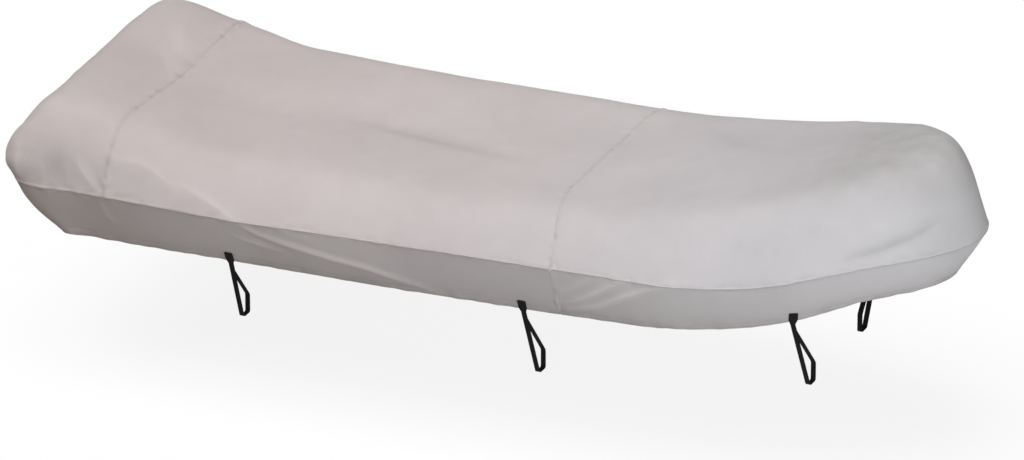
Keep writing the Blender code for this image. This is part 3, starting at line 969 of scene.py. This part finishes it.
def webPath(place, side):
    # the webbing's middle line: down from the tab, round the rail and back behind itself
    centre, out, level, up = seatTie(place, side)
    drop, loopIn = ties["places"][place][2:]
    inward = Vector((0, -side, 0))
    down = Vector((0, 0, -1))
    neck = centre - up * ties["neckDrop"]
    frontLow = neck + inward * loopIn + down * drop
    backLow = frontLow + inward * ties["railWidth"]
    backHigh = backLow - down * ties["railHeight"]
    lean = (frontLow - neck).normalized()
    split = neck + lean * ties["splitDrop"]
    half = out * ties["thickness"] / 2
    halfSplit = alongBoat.cross(lean).normalized() * ties["thickness"] / 2
    halfSplit *= -1 if halfSplit.dot(inward) > 0 else 1
    loop = roundedRun([split + halfSplit, frontLow, backLow, backHigh, split - halfSplit],
                      ties["corner"], ties["cornerSteps"])
    turn = neck + up * ties["neckRise"]
    reach, turned = ties["neckEase"]
    eased = neck.lerp(split, reach)
    halfEased = half.lerp(halfSplit, turned)
    front = [centre + half, turn + half, eased + halfEased]
    back = [eased - halfEased, turn - half, centre - half]
    return front + loop + back


def makeWeb(name, path, level):
    ends = ties["levelPoints"]
    rings = []
    lastThick = None
    for k, point in enumerate(path):
        ahead = (path[min(k + 1, len(path) - 1)] - path[max(k - 1, 0)]).normalized()
        wide = level if k < ends or k >= len(path) - ends else alongBoat
        thick = ahead.cross(wide).normalized()
        if lastThick is not None and thick.dot(lastThick) < 0:
            thick = -thick
        lastThick = thick
        rings.append(flatRing(point, wide * ties["width"] / 2, thick * ties["thickness"] / 2))
    return loft(name, rings, False, runLengths(path))


def makeTab(name, centre, out, level, up):
    middles = []
    rings = []
    for height, wide, thick in ties["tab"]:
        middles.append(centre + up * height * mm)
        rings.append(flatRing(middles[-1], level * (wide * mm), out * (thick * mm)))
    return loft(name, rings, False, runLengths(middles))


def sewBox(name, centre, out, level, up):
    # the box stitched on a tab, with its two diagonals
    half, foot, head = ties["box"]
    face = centre + out * ties["thickness"]
    a, b, c, d = (face + level * side * half + up * rise
                  for side, rise in ((-1, foot), (1, foot), (1, head), (-1, head)))
    lines = ((a, b), (b, c), (c, d), (d, a), (a, c), (b, d))
    return sew(name, [(line, (out, out)) for line in lines])


def makeTie(name, place, side):
    centre, out, level, up = seatTie(place, side)
    web = makeWeb(name, webPath(place, side), level)
    selectOnly(web, makeTab(name + "_tab", centre, out, level, up))
    bpy.ops.object.join()
    return web, sewBox(name + "_thread", centre, out, level, up)


tiePieces = {}
for sideName, side in ties["sides"].items():
    for place in ties["places"]:
        name = sideName + "_" + place
        tiePieces["strap_" + name] = makeTie("tie_" + name, place, side)
print("tie loops made:", len(tiePieces))


def linear(code):
    # an sRGB hex colour as the linear one that a shader takes
    parts = [int(code[i:i + 2], 16) / 255 for i in (1, 3, 5)]
    return [p / 12.92 if p <= 0.04045 else ((p + 0.055) / 1.055) ** 2.4 for p in parts] + [1.0]


def addNode(tree, kind, links, **settings):
    # one node, its inputs and its settings: a value is set and a socket is linked. A Mix
    # node's two colours are its inputs 6 and 7, and its result is output 2
    node = tree.nodes.new("ShaderNode" + kind)
    for name, value in settings.items():
        setattr(node, name, value)
    for name, value in links.items():
        if isinstance(value, bpy.types.NodeSocket):
            tree.links.new(value, node.inputs[name])
        else:
            node.inputs[name].default_value = value
    return node


def newMaterial(name):
    material = bpy.data.materials.new(name)
    material.use_nodes = True
    return material, material.node_tree, material.node_tree.nodes["Principled BSDF"]


def threadWaves(tree, flat, pitches):
    # a wave along each axis of the layout, as its threads rise and sink
    axes = addNode(tree, "SeparateXYZ", {"Vector": flat})
    waves = []
    for axis, pitch in zip("XY", pitches):
        turn = addNode(tree, "Math", {0: axes.outputs[axis], 1: 2 * math.pi / pitch}, operation="MULTIPLY")
        wave = addNode(tree, "Math", {0: turn.outputs["Value"]}, operation="SINE")
        waves.append(wave.outputs["Value"])
    return waves


canvas = {
    # the cloth's colour along the boat: (place along it, colour). The top's is toned by sun and weather; the band's is
    # painted darker towards the stern as painted shade, and paler towards the bow as painted light
    "topTones": ((-1.9, "#CCC2C0"), (-0.6, "#D2C8C7"), (0.4, "#D1CACA"), (1.2, "#CDC9CB"),
                 (1.9, "#CBC9CA")),
    "bandShadeTones": ((-1.75, "#B8ACA7"), (-1.1, "#CAC1BE"), (-0.5, "#D3CAC8"), (0.2, "#CFC8C6"),
                  (1.4, "#D0CCCB"), (1.9, "#D7D4D4")),
    "boat": (-2.0, 2.0),     # the boat's two ends
    # the dark colour of the dirt and painted shade mask, and its greatest share
    "grimeAndShade": "#8D8580",
    "grimeAndShadeShare": 0.45,
    "mottleSize": 0.4167,    # slow clouds of the coating
    "mottleDepth": 0.045,
    "blotchSize": 0.08333,   # finer ones
    "blotchDepth": 0.02,
    "slubWidth": 0.0045,     # 0.6 mm in the real cloth, drawn coarser so that it shows
    "slubLength": 0.160,
    "slubDepth": 0.015,
    "slubRelief": 1.5,       # in the bump, against the weave's
    "foldLightHeight": 0.008,   # a fold this high gets the palest painted highlight, and one this deep the darkest painted shade
    "foldLightTones": (0.87, 1.10),
    "threadPitch": 0.0032,   # 0.5 mm in the real cloth, drawn coarser for the same reason
    "bumpStrength": 0.6,
    "bumpDepth": 0.0007,
    "roughness": (0.82, 0.94),
}


def tonesAlong(tree, place, tones):
    # the cloth's colour along the boat
    aft, bow = canvas["boat"]
    parts = addNode(tree, "SeparateXYZ", {"Vector": place})
    along = addNode(tree, "MapRange", {"Value": parts.outputs["X"], "From Min": aft,
                                       "From Max": bow})
    ramp = addNode(tree, "ValToRGB", {"Fac": along.outputs["Result"]})
    stops = ramp.color_ramp.elements
    while len(stops) < len(tones):
        stops.new(0.5)
    for stop, (spot, code) in zip(stops, tones):
        stop.position = (spot - aft) / (bow - aft)
        stop.color = linear(code)
    return ramp.outputs["Color"]


def canvasMaterial(name, tones):
    # 600 denier polyester canvas, plain woven and dull coated: matt, with faint slubs both
    # ways, a slow mottling from the coating, painted highlight on fold crests, painted shade in
    # their hollows, and the mask's dirt and painted shade
    material, tree, shader = newMaterial(name)
    place = addNode(tree, "TexCoord", {}).outputs["Object"]
    flat = addNode(tree, "UVMap", {}, uv_map="flat").outputs["UV"]
    fold = addNode(tree, "Attribute", {}, attribute_name="fold").outputs["Fac"]
    dustAndShade = addNode(tree, "Attribute", {}, attribute_name="grimeAndShade").outputs["Fac"]
    mottle = addNode(tree, "TexNoise", {"Vector": place, "Scale": 1 / canvas["mottleSize"],
                                        "Detail": 3.0}).outputs["Fac"]
    blotch = addNode(tree, "TexNoise", {"Vector": place, "Scale": 1 / canvas["blotchSize"],
                                        "Detail": 4.0}).outputs["Fac"]
    slubs = []
    for length, width in ((canvas["slubLength"], canvas["slubWidth"]),
                          (canvas["slubWidth"], canvas["slubLength"])):
        drawn = addNode(tree, "Mapping", {"Vector": flat, "Scale": (1 / length, 1 / width, 1.0)})
        slubs.append(addNode(tree, "TexNoise", {"Vector": drawn.outputs["Vector"],
                                                "Scale": 1.0, "Detail": 1.0}).outputs["Fac"])
    slub = addNode(tree, "Math", {0: slubs[0], 1: slubs[1]}, operation="ADD").outputs["Value"]
    # fold crests painted paler and hollows darker: painted highlight and painted shade
    darkest, palest = canvas["foldLightTones"]
    foldLight = addNode(tree, "MapRange", {"Value": fold, "From Min": -canvas["foldLightHeight"],
                                        "From Max": canvas["foldLightHeight"],
                                        "To Min": darkest, "To Max": palest})
    value = foldLight.outputs["Result"]
    # each pattern's middle value, and how far it tones the cloth
    for source, middle, depth in ((mottle, 0.5, canvas["mottleDepth"]),
                                  (blotch, 0.5, canvas["blotchDepth"]),
                                  (slub, 1.0, canvas["slubDepth"])):
        share = addNode(tree, "MapRange", {"Value": source, "From Min": middle * 0.5,
                                           "From Max": middle * 1.5,
                                           "To Min": 1 - depth, "To Max": 1 + depth})
        product = addNode(tree, "Math", {0: value, 1: share.outputs["Result"]}, operation="MULTIPLY")
        value = product.outputs["Value"]
    toned = addNode(tree, "HueSaturation", {"Value": value,
                                            "Color": tonesAlong(tree, place, tones)})
    # the mask darkens the cloth: dirt at the seams and the hem, painted shade along the knuckle, inside the hem and on
    # the bow's crown
    patchy = addNode(tree, "Math", {0: dustAndShade, 1: blotch}, operation="MULTIPLY")
    share = addNode(tree, "Math", {0: patchy.outputs["Value"], 1: canvas["grimeAndShadeShare"] / 0.5},
                    operation="MULTIPLY", use_clamp=True)   # the blotches average a half
    dirtyAndShaded = addNode(tree, "Mix", {0: share.outputs["Value"], 6: toned.outputs["Color"],
                                  7: linear(canvas["grimeAndShade"])}, data_type="RGBA")
    tree.links.new(dirtyAndShaded.outputs[2], shader.inputs["Base Color"])
    warp, weft = threadWaves(tree, flat, (canvas["threadPitch"], canvas["threadPitch"]))
    weave = addNode(tree, "Math", {0: warp, 1: weft}, operation="MULTIPLY").outputs["Value"]
    relief = addNode(tree, "Math", {0: slub, 1: canvas["slubRelief"], 2: weave}, operation="MULTIPLY_ADD")
    bump = addNode(tree, "Bump", {"Strength": canvas["bumpStrength"],
                                  "Distance": canvas["bumpDepth"],
                                  "Height": relief.outputs["Value"]})
    tree.links.new(bump.outputs["Normal"], shader.inputs["Normal"])
    smoothest, roughest = canvas["roughness"]
    dull = addNode(tree, "MapRange", {"Value": blotch, "To Min": smoothest, "To Max": roughest})
    tree.links.new(dull.outputs["Result"], shader.inputs["Roughness"])
    shader.inputs["IOR"].default_value = 1.45
    shader.inputs["Specular IOR Level"].default_value = 0.25
    return material


webbing = {
    "colour": "#0A0A0B",
    # the ribs' crests: painted sheen and wear
    "ribWearAndSheen": "#1C1C1E",
    "pickPitch": 0.0034,     # along it, 1.2 mm in the real one, drawn coarser so that it shows
    "ribPitch": 0.0026,      # across the webbing, as in the real one
    "pickRelief": 0.4,       # against the ribs'
    "bumpStrength": 0.7,
    "bumpDepth": 0.0005,
}


def webbingMaterial(name):
    # black polypropylene webbing, woven in ribs: dull, its ribs' crests painted paler, a painted sheen with their wear
    material, tree, shader = newMaterial(name)
    flat = addNode(tree, "UVMap", {}, uv_map="flat").outputs["UV"]
    picks, ribs = threadWaves(tree, flat, (webbing["pickPitch"], webbing["ribPitch"]))
    relief = addNode(tree, "Math", {0: picks, 1: webbing["pickRelief"], 2: ribs},
                     operation="MULTIPLY_ADD").outputs["Value"]
    highest = 1 + webbing["pickRelief"]
    share = addNode(tree, "MapRange", {"Value": relief, "From Min": -highest,
                                       "From Max": highest})
    colour = addNode(tree, "Mix", {0: share.outputs["Result"], 6: linear(webbing["colour"]),
                                   7: linear(webbing["ribWearAndSheen"])}, data_type="RGBA")
    tree.links.new(colour.outputs[2], shader.inputs["Base Color"])
    bump = addNode(tree, "Bump", {"Strength": webbing["bumpStrength"],
                                  "Distance": webbing["bumpDepth"], "Height": relief})
    tree.links.new(bump.outputs["Normal"], shader.inputs["Normal"])
    shader.inputs["Roughness"].default_value = 0.7
    shader.inputs["IOR"].default_value = 1.49
    shader.inputs["Specular IOR Level"].default_value = 0.2
    return material


def threadMaterial(name, code):
    # bonded polyester thread, twisted: a little smoother than the cloth, so stitches glint
    material, tree, shader = newMaterial(name)
    place = addNode(tree, "TexCoord", {}).outputs["Object"]
    twist = addNode(tree, "TexNoise", {"Vector": place, "Scale": 1 / thread["twistSize"],
                                       "Detail": 1.0}).outputs["Fac"]
    darkest, palest = thread["twistTones"]
    tone = addNode(tree, "MapRange", {"Value": twist, "To Min": darkest, "To Max": palest})
    colour = addNode(tree, "HueSaturation", {"Value": tone.outputs["Result"],
                                             "Color": linear(code)})
    tree.links.new(colour.outputs["Color"], shader.inputs["Base Color"])
    bump = addNode(tree, "Bump", {"Strength": thread["bumpStrength"],
                                  "Distance": thread["bumpDepth"], "Height": twist})
    tree.links.new(bump.outputs["Normal"], shader.inputs["Normal"])
    shader.inputs["Roughness"].default_value = 0.55
    shader.inputs["IOR"].default_value = 1.55
    return material


finishes = {
    "top": canvasMaterial("topCanvas", canvas["topTones"]),
    # the band's copy of the canvas, with painted shade towards the stern and painted light towards the bow
    "band": canvasMaterial("bandCanvas", canvas["bandShadeTones"]),
    "thread": threadMaterial("greyThread", thread["grey"]),
    "blackThread": threadMaterial("blackThread", thread["black"]),
    "webbing": webbingMaterial("blackWebbing"),
}


def dress(piece, finish, slot, *replaced):
    piece.data.materials.clear()
    piece.data.materials.append(finishes[finish])
    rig.ride(piece, "root")
    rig.slot(piece, slot)
    if replaced:
        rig.replaces(piece, *replaced)


for node, piece in sheetPieces.items():
    dress(piece, "band" if node in cloth["bands"] else "top", "canvas", node)
seamTrim = {}
for kind, found in joins.items():
    for strip, threadRows in found:
        dress(strip, "top" if kind in ("seam0", "seam1", "knuckle") else "band", "canvas")
        stitches = sew(strip.name.replace("Strip", "Thread"), threadRows)
        dress(stitches, "thread", "canvas")
        seamTrim.setdefault(kind, []).extend([strip, stitches])
for node, (web, stitches) in tiePieces.items():
    dress(web, "webbing", "webbing", node)
    dress(stitches, "blackThread", "webbing")

for node, sheet in sheets.items():
    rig.sheet(sheetPieces[node], flat=sheet["flat"], held="stretched", rests_on=sheet["rests"],
             area=sheet["area"], with_pieces=seamTrim[sheet["trim"]])
print("materials given, sheets declared")

studio = {
    "floorZ": -1.058,
    "floorSize": 400.0,
    "floorColour": "#6A6A6A",
    "floorGlow": 0.86,
    "ambient": (0.52, 0.14),     # from straight below and from straight above
    "ambientForward": 0.20,      # how much brighter it is from straight ahead of the bow
    "keyAzimuth": -20.0,
    "keyElevation": 68.0,
    "keyStrength": 2.58,
    "keySoftness": 50.0,
    "boxPlace": (3.63, -3.26, -0.62),   # the low softbox off the bow
    "boxAim": (1.2, -0.4, -0.30),
    "boxSize": 0.85,
    "boxPower": 53.0,
    "boxColour": "#F4F8FF",
}


def addFloor():
    bpy.ops.mesh.primitive_plane_add(size=studio["floorSize"], location=(0, 0, studio["floorZ"]))
    floor = bpy.context.object
    floor.name = "studioFloor"
    material, tree, shader = newMaterial("paleFloor")
    shader.inputs["Base Color"].default_value = linear(studio["floorColour"])
    shader.inputs["Roughness"].default_value = 1.0
    shader.inputs["Specular IOR Level"].default_value = 0.0
    shader.inputs["Emission Color"].default_value = (1.0, 1.0, 1.0, 1.0)
    shader.inputs["Emission Strength"].default_value = studio["floorGlow"]
    floor.data.materials.append(material)
    floor.visible_diffuse = False
    floor.visible_glossy = False
    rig.stage(floor)


def addSky():
    world = bpy.data.worlds.new("studio")
    world.use_nodes = True
    sky = world.node_tree
    way = addNode(sky, "TexCoord", {}).outputs["Generated"]
    parts = addNode(sky, "SeparateXYZ", {"Vector": way}).outputs
    fromBelow, fromAbove = studio["ambient"]
    glow = addNode(sky, "MapRange", {"Value": parts["Z"], "From Min": -1.0, "From Max": 1.0,
                                     "To Min": fromBelow, "To Max": fromAbove})
    strength = addNode(sky, "Math", {0: parts["X"], 1: studio["ambientForward"],
                                     2: glow.outputs["Result"]},
                       operation="MULTIPLY_ADD", use_clamp=True)
    background = sky.nodes["Background"]
    background.inputs["Color"].default_value = (1.0, 1.0, 1.0, 1.0)
    sky.links.new(strength.outputs["Value"], background.inputs["Strength"])
    bpy.context.scene.world = world


def addLights():
    lamp = toward(studio["keyAzimuth"], studio["keyElevation"])
    bpy.ops.object.light_add(type="SUN", rotation=(-lamp).to_track_quat("-Z", "Y").to_euler())
    key = bpy.context.object
    key.data.energy = studio["keyStrength"]
    key.data.angle = math.radians(studio["keySoftness"])
    place = Vector(studio["boxPlace"])
    aim = (Vector(studio["boxAim"]) - place).to_track_quat("-Z", "Y").to_euler()
    bpy.ops.object.light_add(type="AREA", location=place, rotation=aim)
    box = bpy.context.object
    box.data.size = studio["boxSize"]
    box.data.energy = studio["boxPower"]
    box.data.color = linear(studio["boxColour"])[:3]
    box.visible_camera = False


addFloor()
addSky()
addLights()
bpy.context.scene.view_settings.view_transform = "Standard"
print("floor and lights set")

low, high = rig.bounds()
with open("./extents.json", "w") as out:
    json.dump([list(cadLow), list(cadHigh), list(low), list(high)], out)
